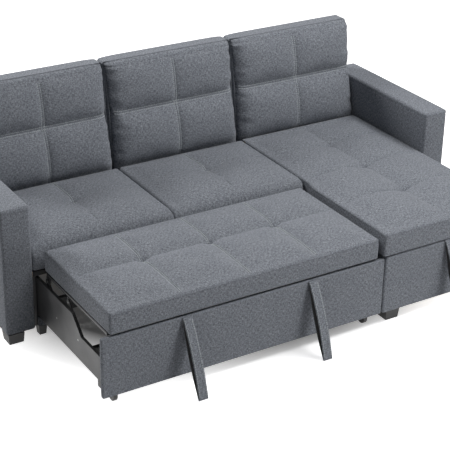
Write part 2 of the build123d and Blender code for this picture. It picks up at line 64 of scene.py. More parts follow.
class UpholsterySettings(bpy.types.PropertyGroup):
    """Cloth and sewing of every soft piece."""
    light: StringProperty(name="Light yarn", description="Palest yarn, sRGB hex", default="A1A5AB")
    mid: StringProperty(name="Mid yarn", description="Main yarn, sRGB hex", default="7E8289")
    dark: StringProperty(name="Dark yarn", description="Darkest yarn, sRGB hex", default="595D65")
    thread: StringProperty(name="Sewing thread", description="Topstitch, sRGB hex", default="BEC4C7")
    slub: FloatProperty(name="Yarn width", description="Width of one slub yarn", default=0.0029,
                        unit="LENGTH")
    stitch: FloatProperty(name="Stitch", description="Length of one stitch", default=0.0085,
                          unit="LENGTH")
    seam_depth: FloatProperty(name="Seam depth", description="How far a sewn line is drawn in",
                              default=0.003, unit="LENGTH")
    row_gap: FloatProperty(name="Row gap", description="From a sewn line to its row of stitches",
                           default=0.0055, unit="LENGTH")


class CushionSettings(bpy.types.PropertyGroup):
    """Fullness of the cushions."""
    pressure: FloatProperty(name="Pressure", description="Cloth pressure that swells a cushion",
                            default=4.0)
    swell: FloatProperty(name="Most swell", description="Cap on how far the cloth may move",
                         default=0.022, unit="LENGTH")
    pitch: FloatProperty(name="Mesh pitch", description="Mesh size of the cloth", default=0.015,
                         unit="LENGTH")
    back_crown: FloatProperty(name="Back crown", description="Bulge of a back panel", default=0.024,
                              unit="LENGTH")
    seat_crown: FloatProperty(name="Seat crown", description="Bulge of a seat", default=0.010,
                              unit="LENGTH")
    bed_crown: FloatProperty(name="Bed crown", description="Bulge of a bed panel", default=0.004,
                             unit="LENGTH")


class StageSettings(bpy.types.PropertyGroup):
    """Floor, light and camera."""
    lens: FloatProperty(name="Lens", description="Focal length", default=109.3)
    place: FloatVectorProperty(name="Camera", description="Camera position",
                               default=(-2.7469, -4.3306, 2.8255), subtype="TRANSLATION")
    azimuth: FloatProperty(name="Azimuth", description="Turn of the view", default=math.radians(31.6),
                           subtype="ANGLE")
    elevation: FloatProperty(name="Elevation", description="Tilt of the view", default=math.radians(26.5),
                             subtype="ANGLE")
    roll: FloatProperty(name="Roll", description="Roll of the view", default=math.radians(1.0),
                        subtype="ANGLE")
    fill: FloatProperty(name="Fill", description="Power of the low light in front", default=22.0,
                        unit="POWER")
    top: FloatProperty(name="Top", description="Power of the overhead light", default=178.0,
                       unit="POWER")
    rear: FloatProperty(name="Rear", description="Power of the light behind the left end",
                        default=150.0, unit="POWER")
    ambient: FloatProperty(name="Ambient", description="Strength of the room light", default=0.02)


# Materials

def srgb(text):
    """Linear colour of an sRGB hex value."""
    parts = [int(text[i:i + 2], 16) / 255 for i in (0, 2, 4)]
    return tuple(c / 12.92 if c <= 0.04045 else ((c + 0.055) / 1.055) ** 2.4 for c in parts) + (1.0,)


def node(tree, kind, links=(), stops=(), **settings):
    """Adds a node with its settings, links (input, node, output) and colour stops (place, colour)."""
    made = tree.nodes.new(kind)
    for key, value in settings.items():
        if hasattr(made, key):
            setattr(made, key, value)
    for key, value in settings.items():
        if not hasattr(made, key):
            made.inputs[key.replace("_", " ")].default_value = value
    for index, (place, colour) in enumerate(stops):
        elements = made.color_ramp.elements
        element = elements[index] if index < len(elements) else elements.new(1.0)
        element.position, element.color = place, colour
    for socket, source, output in links:
        tree.links.new(source.outputs[output], made.inputs[socket])
    return made


def start(name):
    """A new material with its shader and its tree."""
    made = bpy.data.materials.new(name)
    made.use_nodes = True
    return made, made.node_tree, made.node_tree.nodes["Principled BSDF"]


def linen_weave():
    """Polyester linen-look plain weave: heathered slub yarns both ways, matt, with a faint nap."""
    if "linen_look_weave" in bpy.data.materials:
        return bpy.data.materials["linen_look_weave"]
    cloth = bpy.context.scene.sofa_upholstery
    made, tree, shader = start("linen_look_weave")
    place = node(tree, "ShaderNodeTexCoord")
    # the yarns are drawn about four times their real width, or they would not show at this distance
    wide, long = 1 / cloth.slub, 1 / (cloth.slub * 4)
    yarns = []
    for scale, shift in (((wide, long, 1), (0, 0, 0)), ((long, wide, 1), (7, 3, 0))):
        at = node(tree, "ShaderNodeMapping", [("Vector", place, "UV")], Scale=scale, Location=shift)
        yarns.append(node(tree, "ShaderNodeTexNoise", [("Vector", at, "Vector")], Scale=1.0, Detail=3.0,
                          Roughness=0.65))
    warp, weft = yarns
    yarns = node(tree, "ShaderNodeMix", [("A", warp, "Fac"), ("B", weft, "Fac")], Factor=0.5)
    stops = [(0.39, srgb(cloth.dark)), (0.5, srgb(cloth.mid)), (0.61, srgb(cloth.light))]
    heather = node(tree, "ShaderNodeValToRGB", [("Fac", yarns, "Result")], stops)
    # the dye takes in patches about 70 mm wide
    patch = node(tree, "ShaderNodeTexNoise", [("Vector", place, "UV")], Scale=14.0, Detail=2.0)
    stops = [(0.3, (0.92, 0.92, 0.93, 1)), (0.7, (1, 1, 1, 1))]
    tone = node(tree, "ShaderNodeValToRGB", [("Fac", patch, "Fac")], stops)
    colour = node(tree, "ShaderNodeMixRGB", [("Color1", heather, "Color"), ("Color2", tone, "Color")],
                  blend_type="MULTIPLY", Fac=1.0)
    tree.links.new(colour.outputs["Color"], shader.inputs["Base Color"])
    bump = node(tree, "ShaderNodeBump", [("Height", yarns, "Result")], Strength=0.35, Distance=0.0014)
    tree.links.new(bump.outputs["Normal"], shader.inputs["Normal"])
    shader.inputs["Roughness"].default_value = 0.92
    shader.inputs["Specular IOR Level"].default_value = 0.2
    shader.inputs["Sheen Weight"].default_value = 0.12
    shader.inputs["Sheen Roughness"].default_value = 0.5
    return made


def sewing_thread():
    """Twisted polyester thread: paler and smoother than the cloth, so each stitch catches light."""
    if "polyester_thread" in bpy.data.materials:
        return bpy.data.materials["polyester_thread"]
    made, tree, shader = start("polyester_thread")
    place = node(tree, "ShaderNodeTexCoord")
    # the plies of the thread cross about every millimetre
    twist = node(tree, "ShaderNodeTexNoise", [("Vector", place, "Object")], Scale=900.0, Detail=1.0)
    base = srgb(bpy.context.scene.sofa_upholstery.thread)
    shade = tuple(c * 0.75 for c in base[:3]) + (1,)
    colour = node(tree, "ShaderNodeValToRGB", [("Fac", twist, "Fac")], [(0.35, shade), (0.65, base)])
    tree.links.new(colour.outputs["Color"], shader.inputs["Base Color"])
    shader.inputs["Roughness"].default_value = 0.6
    return made


def timber(name, dark, light, across, along, rough):
    """Sawn wood: long grain bands with finer pores, dull where it is unfinished."""
    made, tree, shader = start(name)
    place = node(tree, "ShaderNodeTexCoord")
    at = node(tree, "ShaderNodeMapping", [("Vector", place, "Object")],
              Scale=(1 / along, 1 / across, 1 / across))
    grain = node(tree, "ShaderNodeTexNoise", [("Vector", at, "Vector")], Scale=1.0, Detail=5.0,
                 Roughness=0.6, Distortion=0.6)
    stops = [(0.3, srgb(dark)), (0.7, srgb(light))]
    colour = node(tree, "ShaderNodeValToRGB", [("Fac", grain, "Fac")], stops)
    tree.links.new(colour.outputs["Color"], shader.inputs["Base Color"])
    dull = node(tree, "ShaderNodeMapRange", [("Value", grain, "Fac")], From_Min=0.2, From_Max=0.8,
                To_Min=rough - 0.1, To_Max=rough + 0.1)
    tree.links.new(dull.outputs["Result"], shader.inputs["Roughness"])
    bump = node(tree, "ShaderNodeBump", [("Height", grain, "Fac")], Strength=0.3, Distance=0.0006)
    tree.links.new(bump.outputs["Normal"], shader.inputs["Normal"])
    return made


def grained(name, dark, light, grit, rough, metallic=0.0, depth=0.0004):
    """A moulded, laminated or plated surface: even colour with a fine grain that breaks the highlight."""
    made, tree, shader = start(name)
    place = node(tree, "ShaderNodeTexCoord")
    speck = node(tree, "ShaderNodeTexNoise", [("Vector", place, "Object")], Scale=1 / grit, Detail=3.0,
                 Roughness=0.6)
    # handling leaves smears about 110 mm wide
    smear = node(tree, "ShaderNodeTexNoise", [("Vector", place, "Object")], Scale=9.0, Detail=3.0)
    both = node(tree, "ShaderNodeMix", [("A", speck, "Fac"), ("B", smear, "Fac")], Factor=0.5)
    stops = [(0.3, srgb(dark)), (0.7, srgb(light))]
    colour = node(tree, "ShaderNodeValToRGB", [("Fac", both, "Result")], stops)
    tree.links.new(colour.outputs["Color"], shader.inputs["Base Color"])
    dull = node(tree, "ShaderNodeMapRange", [("Value", smear, "Fac")], From_Min=0.3, From_Max=0.7,
                To_Min=rough - 0.08, To_Max=rough + 0.08)
    tree.links.new(dull.outputs["Result"], shader.inputs["Roughness"])
    bump = node(tree, "ShaderNodeBump", [("Height", speck, "Fac")], Strength=0.25, Distance=depth)
    tree.links.new(bump.outputs["Normal"], shader.inputs["Normal"])
    shader.inputs["Metallic"].default_value = metallic
    return made


def painted_shade_sheet():
    """A near-black, dull sheet: painted shade, laid in hidden places where only shade falls, inside the
    strap folds and over the seat rail.
    """
    made = bpy.data.materials.get("painted_shade_black_sheet")
    return made or grained("painted_shade_black_sheet", "161617", "232325", 0.003, 0.85)


# Meshes

def spread(low, high, pitch, round_at=0.0, sewn=(), fine=(0.003, 0.009)):
    """Mesh lines from low to high: even, closer in the rounded ends and beside each sewn line."""
    marks = {low, high}
    for share in (0.3, 0.65, 1.0):
        if round_at:
            marks |= {low + round_at * share, high - round_at * share}
    for seam in sorted(sewn):
        marks |= {seam} | {seam + side * gap for gap in fine for side in (-1, 1)}
    fixed = sorted(m for m in marks if low <= m <= high)
    lines = [fixed[0]]
    for a, b in zip(fixed, fixed[1:]):
        count = max(1, round((b - a) / pitch))
        lines += [a + (b - a) * i / count for i in range(1, count + 1)]
    return [v for i, v in enumerate(lines) if i == 0 or v - lines[i - 1] > 1e-5]


class Shell:
    """The six faces of a box as one closed mesh, with flat cloth coordinates, before it is shaped."""

    def __init__(self, xs, ys, zs):
        points, faces, cloth = {}, [], []
        axes = (xs, ys, zs)
        for axis, u, v in ((0, 1, 2), (1, 0, 2), (2, 0, 1)):
            for end in (0, len(axes[axis]) - 1):
                for i in range(len(axes[u]) - 1):
                    for j in range(len(axes[v]) - 1):
                        ring = []
                        for a, b in ((i, j), (i + 1, j), (i + 1, j + 1), (i, j + 1)):
                            key = [0, 0, 0]
                            key[axis], key[u], key[v] = end, a, b
                            ring.append(points.setdefault(tuple(key), len(points)))
                        flip = (end == 0) == (axis != 1)
                        faces.append(ring[::-1] if flip else ring)
                        flat = [(axes[u][a] + axis * 0.37, axes[v][b] + end * 0.0113)
                                for a, b in ((i, j), (i + 1, j), (i + 1, j + 1), (i, j + 1))]
                        cloth += flat[::-1] if flip else flat
        self.rest = np.array([[axes[n][k[n]] for n in range(3)] for k in points])
        self.faces, self.cloth = faces, cloth
        self.low, self.high = self.rest.min(0), self.rest.max(0)
        self.co = self.rest.copy()

    def rounded(self, radius):
        """Rounds every edge and corner."""
        core = np.clip(self.rest, self.low + radius, self.high - radius)
        out = self.rest - core
        size = np.linalg.norm(out, axis=1, keepdims=True)
        self.co = core + out / np.maximum(size, 1e-9) * radius
        return self

    def share(self, axis):
        """Place along one axis, from 0 to 1."""
        return (self.rest[:, axis] - self.low[axis]) / (self.high[axis] - self.low[axis])

    def build(self, name, material):
        """The mesh object."""
        mesh = bpy.data.meshes.new(name)
        mesh.from_pydata([tuple(p) for p in self.co], [], self.faces)
        layer = mesh.uv_layers.new(name="cloth")
        layer.data.foreach_set("uv", np.array(self.cloth, np.float32).ravel())
        mesh.materials.append(material)
        mesh.shade_smooth()
        made = bpy.data.objects.new(name, mesh)
        bpy.context.scene.collection.objects.link(made)
        return made


def hollow(distance, width):
    """1 on a sewn line, falling to 0 beside it."""
    return np.exp(-(distance / width) ** 2)


def domes(place, lines):
    """How far a point is into its sewn panel: 0 on the lines, 1 in the middle between two of them."""
    lines = np.array(sorted(lines))
    index = np.clip(np.searchsorted(lines, place, side="right") - 1, 0, len(lines) - 2)
    a, b = lines[index], lines[index + 1]
    t = np.clip((place - a) / (b - a), 0, 1)
    return 1 - np.abs(2 * t - 1) ** 2.6


def ripple(a, b, seed):
    """Small uneven waves that stand for gathered cloth."""
    waves = np.zeros_like(a)
    rng = np.random.default_rng(seed)
    for _ in range(7):
        fa, fb = rng.uniform(60, 210), rng.uniform(-30, 30)
        waves += np.sin(fa * a + fb * b + rng.uniform(0, 6.28))
    return waves / 7


def write(made, co):
    """Puts new points into a mesh."""
    made.data.vertices.foreach_set("co", np.asarray(co, np.float32).ravel())
    made.data.update()


def puff(made, held, pressure):
    """Swells a cushion by cloth simulation: held points stay sewn or at rest, the others fill out."""
    scene = bpy.context.scene
    swell, frames = scene.sofa_cushions.swell, 20
    group = made.vertex_groups.new(name="sewn")
    for index, weight in enumerate(held):
        if weight > 0.01:
            group.add([index], float(weight), "REPLACE")
    cloth = made.modifiers.new("fill", "CLOTH")
    s = cloth.settings
    s.vertex_group_mass = "sewn"
    s.use_pressure = True
    s.uniform_pressure_force = pressure
    s.quality = 6
    s.mass = 0.35
    s.tension_stiffness = s.compression_stiffness = 12
    s.shear_stiffness = 6
    s.bending_stiffness = 0.6
    s.shrink_min = -0.012
    s.effector_weights.gravity = 0
    cloth.collision_settings.use_self_collision = False
    cloth.point_cache.frame_start, cloth.point_cache.frame_end = 1, frames
    for number in range(1, frames + 1):
        scene.frame_set(number)
    count = len(made.data.vertices)
    before, after = np.empty(count * 3, np.float32), np.empty(count * 3, np.float32)
    made.data.vertices.foreach_get("co", before)
    done = made.evaluated_get(bpy.context.evaluated_depsgraph_get())
    done.data.vertices.foreach_get("co", after)
    move = (after - before).reshape(-1, 3)
    size = np.linalg.norm(move, axis=1, keepdims=True)
    if not np.isfinite(size).all():
        raise RuntimeError(made.name + ": the cloth did not settle")
    move *= np.minimum(1, swell / np.maximum(size, 1e-9))
    co = before.reshape(-1, 3) + move
    made.modifiers.remove(cloth)
    made.vertex_groups.remove(group)
    scene.frame_set(1)
    write(made, co)


def smooth(made, levels=1):
    """One subdivision, kept on the piece."""
    made.modifiers.new("smooth", "SUBSURF").levels = levels
    made.modifiers["smooth"].render_levels = levels
    return made


def fit(made, body, nodes):
    """Hangs a piece on its body in place of its CAD nodes."""
    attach(made, body)
    if nodes:
        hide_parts(*nodes)
    return made


def surface(made):
    """The shown surface of a piece, to lay stitches on."""
    bpy.context.view_layer.update()
    return BVHTree.FromObject(made, bpy.context.evaluated_depsgraph_get())


def stitches(name, rows, tree, aim, body, lift=0.0004):
    """Short stitches along rows of points. aim is the way in which the surface is looked for."""
    length = bpy.context.scene.sofa_upholstery.stitch
    # the thread is drawn about twice its real thickness, or it would not show at this distance
    radius = 0.0016
    bm = bmesh.new()
    aim = Vector(aim).normalized()
    for row in rows:
        path = [Vector(p) for p in row]
        total = sum((b - a).length for a, b in zip(path, path[1:]))
        count = max(1, int(total / length))
        walked, marks, step = 0.0, [], total / count
        for a, b in zip(path, path[1:]):
            run = (b - a).length
            while len(marks) * step < walked + run + 1e-9 and len(marks) <= count:
                marks.append(a.lerp(b, (len(marks) * step - walked) / max(run, 1e-9)))
            walked += run
        for a, b in zip(marks, marks[1:]):
            ends = [tree.ray_cast(a.lerp(b, t) - aim * 0.08, aim, 0.2) for t in (0.1, 0.9)]
            if ends[0][0] is None or ends[1][0] is None:
                continue
            p, q = (hit[0] + hit[1] * lift for hit in ends)
            if (q - p).length < length * 0.2 or (q - p).length > length * 2:
                continue
            normal = (ends[0][1] + ends[1][1]).normalized()
            along = (q - p).normalized()
            side = normal.cross(along).normalized()
            rings = []
            for t, r in ((0, 0.35), (0.22, 1.0), (0.78, 1.0), (1, 0.35)):
                centre = p.lerp(q, t)
                spokes = [side * math.cos(k) + normal * math.sin(k) for k in (0, 1.26, 2.51, 3.77, 5.03)]
                rings.append([bm.verts.new(centre + spoke * radius * r) for spoke in spokes])
            for one, two in zip(rings, rings[1:]):
                for k in range(5):
                    bm.faces.new((one[k], two[k], two[(k + 1) % 5], one[(k + 1) % 5]))
            bm.faces.new(rings[0])
            bm.faces.new(rings[-1][::-1])
    mesh = bpy.data.meshes.new(name)
    bm.normal_update()
    bm.to_mesh(mesh)
    bm.free()
    mesh.materials.append(sewing_thread())
    mesh.shade_smooth()
    made = bpy.data.objects.new(name, mesh)
    bpy.context.scene.collection.objects.link(made)
    return fit(made, body, ())


def line(a, b, count=24):
    """Points on a straight run."""
    return [tuple(a[n] + (b[n] - a[n]) * i / count for n in range(3)) for i in range(count + 1)]


# Pieces

def back_cushion(side, seed):
    """A wedge cushion: four full panels round a sewn cross, a strip over the top, gathered ends."""
    full = bpy.context.scene.sofa_cushions
    sewing = bpy.context.scene.sofa_upholstery
    low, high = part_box("back_cushion_" + side)
    x0, x1 = low.x - 0.002, high.x + 0.002
    mid = (x0 + x1) / 2
    z0, z1 = low.z, 0.847
    # heights of the seat, of the level seam and of the seam below the top strip
    seat_z, cross_z, brow_z = 0.40, 0.628, 0.826
    edge, flat, fine = 0.012, 0.1, (0.003, 0.0065, 0.011)
    xs = spread(x0, x1, full.pitch, edge, (mid,), fine)
    ys = spread(0, flat, 0.018, edge)
    zs = spread(z0, z1, full.pitch, edge, (cross_z, brow_z), fine)
    shell = Shell(xs, ys, zs).rounded(edge)
    x, depth, z = shell.co.T
    rx, rz = shell.rest[:, 0], shell.rest[:, 2]
    aside = np.abs(2 * shell.share(0) - 1)
    face = np.clip(1 - shell.share(1) / 0.2, 0, 1)
    # the front leans back, and the top strip reaches over the frame
    front = np.interp(z, (z0, 0.412, 0.824, 0.848), (0.536, 0.528, 0.607, 0.618))
    rear = np.where(rz > brow_z + 0.002, 0.7045, 0.661)
    y = front + depth / flat * (rear - front)
    # ends are square at the arms and full where two cushions meet
    square, round_end, crest = 0.012, 0.048, 0.016
    turns = [(rx - x0, square if side == "left" else round_end),
             (x1 - rx, square if side == "right" else round_end), (z1 - rz, crest)]
    for inset, radius in turns:
        y += face * radius * (1 - np.sqrt(1 - np.clip(1 - inset / radius, 0, 1) ** 2))
    # the upright seam is slacker than the level one
    across = 0.45 * domes(rx, (x0, mid, x1)) + 0.55 * domes(rx, (x0, x1))
    panel = across * domes(rz, (seat_z, cross_z, brow_z + 0.01))
    # each seam is a rib between two drawn-in rows
    off = np.minimum(np.abs(rx - mid), np.abs(rz - cross_z))
    below = rz < brow_z - 0.004
    sewn = hollow(off, 0.016) * below
    rib = hollow(off, 0.0036) * below
    drawn = hollow(off - 0.0065, 0.0022) * below
    brow = hollow(rz - brow_z, 0.0032)
    # the filling sinks, so the lower panels are fuller
    y -= face * full.back_crown * panel * np.where(rz < cross_z, 1.3, 1.0)
    y += face * (sewing.seam_depth * (0.9 * sewn + 0.35 * drawn - 0.5 * rib) + 0.005 * brow)
    # the cloth puckers along the ends, and the sides are drawn in at the front
    gather = hollow(np.minimum(rx - x0, x1 - rx) - 0.022, 0.036)
    y += face * (aside ** 14 * 0.003 + 0.009 * gather) * ripple(z, x * 0, seed)
    waist = 0.008 * np.sin(np.pi * np.clip((z - seat_z) / 0.44, 0, 1))
    waist = waist + 0.004 * hollow(rz - cross_z, 0.03)
    x = x - np.sign(x - mid) * waist * aside ** 8 * np.clip(1 - shell.share(1) / 0.7, 0, 1)
    # the top drops where two cushions meet
    meets = {"left": rx > mid, "middle": np.ones(len(rx), bool), "right": rx < mid}[side]
    z = z - 0.006 * aside ** 12 * (shell.share(2) > 0.9) * meets
    shell.co = np.stack([x, y, z], 1)
    made = shell.build(side + "_back_cushion", linen_weave())
    held = np.maximum.reduce([np.clip(1.2 - face, 0, 1), hollow(off, 0.008) * below * face,
                              (rz < 0.41) * 0.9, (rz > brow_z) * 0.9])
    puff(made, held, full.pressure)
    smooth(made)
    fit(made, "sofa_base", ["back_cushion_" + side, "back_top_pads"])
    rows = []
    for gap in (-sewing.row_gap, sewing.row_gap):
        rows.append(line((x0 + 0.02, 0.5, cross_z + gap), (x1 - 0.02, 0.5, cross_z + gap), 60))
        rows.append(line((mid + gap, 0.5, 0.418), (mid + gap, 0.5, brow_z - 0.006), 60))
    stitches(side + "_back_cushion_topstitch", rows, surface(made), (0, 1, 0), "sofa_base")


class SOFA_OT_back_cushions(bpy.types.Operator):
    """Wedge back cushions, each with a double-stitched cross"""
    bl_idname = "sofa.back_cushions"
    bl_label = "Back cushions"

    def execute(self, context):
        for seed, side in enumerate(("left", "middle", "right"), 11):
            back_cushion(side, seed)
        return {"FINISHED"}


def lying_pad(name, box, edge, crown, sewn_x, sewn_y, tufts, firm, roll=0.0, lip=None, run=None,
              drape=0.0, free=None):
    """A lying cushion: crowned panels between sewn lines, drawn-in tufts. A firm one keeps its box edges.

    roll: radius of a rolled front. lip: how far back the rear reaches, and above which height.
    run: where the lines along y start and end. drape: rise between tufts.
    free: the y in front of which the left side is loose, and how far it bulges.
    """
    full = bpy.context.scene.sofa_cushions
    depth = bpy.context.scene.sofa_upholstery.seam_depth
    (x0, y0, z0), (x1, y1, z1) = box
    xs = spread(x0, x1, full.pitch, edge, sewn_x)
    ys = spread(y0, y1, full.pitch, edge, {*sewn_y, *(ty for _, ty in tufts)})
    boxing = z1 - edge - 0.003
    zs = spread(z0, z1, 0.02, edge, (boxing,) + ((lip[1],) if lip else ()), (0.002, 0.005))
    shell = Shell(xs, ys, zs).rounded(edge)
    x, y, z = shell.co.T
    rx, ry, rz = shell.rest.T
    top = np.clip((shell.share(2) - 0.55) / 0.45, 0, 1)
    ends_x = (x0, x1) if run else (x0, *sewn_x, x1)
    ends_y = (y0, *sewn_y, y1)
    panel = domes(rx, ends_x) * domes(ry, ends_y)
    whole = domes(rx, (x0, x1)) * domes(ry, (y0, y1))
    z = z + top * crown * (0.55 * panel + 0.45 * whole)
    fade = np.clip(np.minimum(rx - x0, x1 - rx) / 0.08, 0, 1)
    z = z + top * drape * domes(ry, {y0, y1, *sewn_y, *(ty for _, ty in tufts)}) * fade
    # a sewn line sinks over one width, is tightest over another, and fades past its ends
    sink, thread, fading = 0.013, 0.0035, 0.02
    groove = np.zeros(len(x))
    tight = np.zeros(len(x))
    border = np.minimum.reduce([rx - x0, x1 - rx, ry - y0, y1 - ry])
    inside = np.clip(border / 0.05, 0, 1)
    for line_x in sewn_x:
        past = 0 * ry
        if run:
            past = np.clip(np.abs(ry - (run[0] + run[1]) / 2) - (run[1] - run[0]) / 2, 0, 1)
        groove = np.maximum(groove, hollow(rx - line_x, sink) * hollow(past, fading))
        tight = np.maximum(tight, hollow(rx - line_x, thread) * hollow(past, fading))
    for line_y in sewn_y:
        groove = np.maximum(groove, 0.5 * hollow(ry - line_y, sink))
        tight = np.maximum(tight, 0.5 * hollow(ry - line_y, thread))
    # a tuft is a wide hollow with a tight knot and five creases
    tuft_depth, tuft_width, knot_width = 0.018, 0.034, 0.008
    dimple = np.zeros(len(x))
    for tx, ty in tufts:
        away, turn = np.hypot(rx - tx, ry - ty), np.arctan2(ry - ty, rx - tx)
        crease = 0.10 * np.cos(5 * turn + 1) * hollow(away - 0.022, 0.016)
        knot = hollow(np.hypot((rx - tx) / 2, ry - ty), knot_width)
        dimple = np.maximum(dimple, 0.4 * hollow(away, tuft_width) + 0.6 * knot + crease)
    z = z - top * inside * (depth * (0.7 * groove + 0.5 * tight) + tuft_depth * dimple)
    # the sides bulge a little, and the boxing seam below the top is drawn in
    side = 1 - np.abs(2 * shell.share(2) - 1) ** 2
    bulge = 0.0008 * side - 0.0022 * hollow(rz - boxing, 0.0024)
    x = x + np.sign(rx - (x0 + x1) / 2) * bulge * (np.abs(2 * shell.share(0) - 1) > 0.999)
    y = y + np.sign(ry - (y0 + y1) / 2) * bulge * (np.abs(2 * shell.share(1) - 1) > 0.999)
    if roll:
        near = np.clip(1 - (y - y0) / roll, 0, 1)
        drop = roll * (1 - np.sqrt(1 - near ** 2))
        z = z0 + (z - z0) * (z1 - z0 - drop) / (z1 - z0)
    if free:
        loose = np.clip((free[0] - ry) / 0.06, 0, 1)
        x = x - free[1] * loose * (1 - shell.share(0)) ** 10
    if lip:
        y = y + (lip[0] - y1) * np.clip((ry - y1) / edge + 1, 0, 1) * (rz > lip[1] + 0.0005)
    shell.co = np.stack([x, y, z], 1)
    made = shell.build(name, linen_weave())
    held = np.where(shell.share(2) < 0.5, 1.0, 0.0)
    held = np.maximum(held, np.maximum(tight, hollow(dimple - 1, 0.3)) * top * inside)
    held = np.maximum(held, firm * np.maximum(1 - top, hollow(border, 0.045)))
    puff(made, held, full.pressure * (1 - 0.6 * firm))
    return smooth(made)


class SOFA_OT_seat_cushions(bpy.types.Operator):
    """Two seat cushions with a rolled front and one sewn line each"""
    bl_idname = "sofa.seat_cushions"
    bl_label = "Seat cushions"

    def execute(self, context):
        crown = context.scene.sofa_cushions.seat_crown
        top, tuft_y, gap = 0.404, 0.30, 0.0045
        start_y, end_y = sewn = (0.27, 0.51)
        for side in ("left", "middle"):
            low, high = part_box("seat_cushion_" + side)
            mid = (low.x + high.x) / 2
            box = ((low.x - 0.0025, low.y + 0.002, low.z), (high.x + 0.0025, high.y - 0.002, top))
            made = lying_pad(side + "_seat_cushion", box, 0.016, crown, (mid,), (), ((mid, tuft_y),),
                             firm=0.6, roll=0.05, run=sewn)
            fit(made, "sofa_base", ["seat_cushion_" + side])
            rows = [line((x, start_y, 0.40), (x, end_y, 0.40), 40) for x in (mid - gap, mid + gap)]
            stitches(side + "_seat_topstitch", rows, surface(made), (0, 0, -1), "sofa_base")
        return {"FINISHED"}


class SOFA_OT_chaise_cushion(bpy.types.Operator):
    """Long chaise cushion with a sewn line and three tufts"""
    bl_idname = "sofa.chaise_cushion"
    bl_label = "Chaise cushion"

    def execute(self, context):
        low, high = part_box("chaise_cushion")
        mid = (low.x + high.x) / 2
        rows_y = (-0.270, 0.005, 0.275)
        box = ((low.x - 0.0025, low.y, low.z), (high.x, high.y, 0.404))
        crown = context.scene.sofa_cushions.bed_crown
        tufts = [(mid, y) for y in rows_y]
        made = lying_pad("chaise_long_cushion", box, 0.010, crown, (mid,), (), tufts, firm=0.85,
                         lip=(0.5225, 0.4008), drape=0.004, free=(-0.012, 0.012))
        fit(made, "chaise_lid", ["chaise_cushion"])
        return {"FINISHED"}


class SOFA_OT_bed_cushion(bpy.types.Operator):
    """Bed cushion sewn into four by two panels"""
    bl_idname = "sofa.bed_cushion"
    bl_label = "Bed cushion"

    def execute(self, context):
        low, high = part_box("bed_cushion")
        sewn_x = [low.x + (high.x - low.x) * share for share in (0.25, 0.5, 0.75)]
        cross = -0.265
        box = ((low.x + 0.0005, low.y, low.z), (high.x - 0.0005, high.y, 0.391))
        crown = context.scene.sofa_cushions.bed_crown
        tufts = [(x, cross) for x in sewn_x]
        made = lying_pad("bed_seat_cushion", box, 0.009, crown, sewn_x, (cross,), tufts, firm=0.95,
                         drape=0.007)
        fit(made, "bed_platform", ["bed_cushion"])
        gap, inset = 0.004, 0.015
        rows = [line((x, low.y + inset, 0.4), (x, high.y - inset, 0.4), 50)
                for seam in sewn_x for x in (seam - gap, seam + gap)]
        stitches("bed_topstitch", rows, surface(made), (0, 0, -1), "bed_platform")
        return {"FINISHED"}


def covered_block(name, box, edge, crown, seam_y=(), seam_z=(), pitch=0.03):
    """A padded, covered block or panel: soft edges, a slight crown, sewn lines at the given y and z."""
    low, high = box
    xs = spread(low[0], high[0], pitch, edge)
    ys = spread(low[1], high[1], pitch, edge, seam_y, (0.002, 0.005))
    zs = spread(low[2], high[2], pitch, edge, seam_z, (0.002, 0.005))
    shell = Shell(xs, ys, zs).rounded(edge)
    middle = (shell.low + shell.high) / 2
    for axis in range(3):
        others = [n for n in range(3) if n != axis]
        fall = np.prod([1 - np.abs(2 * shell.share(n) - 1) ** 4 for n in others], axis=0)
        ends = (np.abs(2 * shell.share(axis) - 1) > 0.999) * np.sign(shell.rest[:, axis] - middle[axis])
        if axis == 2:
            ends = np.maximum(ends, 0)
        shell.co[:, axis] += ends * fall * crown
    seam_width, seam_depth = 0.0024, 0.0012
    for along, place in [(1, y) for y in seam_y] + [(2, z) for z in seam_z]:
        shrink = hollow(shell.rest[:, along] - place, seam_width) * seam_depth
        for axis in {0, 1, 2} - {along}:
            out = np.sign(shell.rest[:, axis] - middle[axis]) * (np.abs(2 * shell.share(axis) - 1) > 0.9)
            shell.co[:, axis] -= out * shrink
    made = shell.build(name, linen_weave())
    return smooth(made)


class SOFA_OT_arms(bpy.types.Operator):
    """Box arms, padded, with a seam round the front and one below the top"""
    bl_idname = "sofa.arms"
    bl_label = "Arms"

    def execute(self, context):
        for side in ("left", "right"):
            low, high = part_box(side + "_arm_cover")
            front_seam, top_seam = low.y + 0.016, high.z - 0.02
            made = covered_block(side + "_arm", (low, high), 0.011, 0.003, (front_seam,), (top_seam,))
            fit(made, "sofa_base", [side + "_arm_cover"])
        return {"FINISHED"}


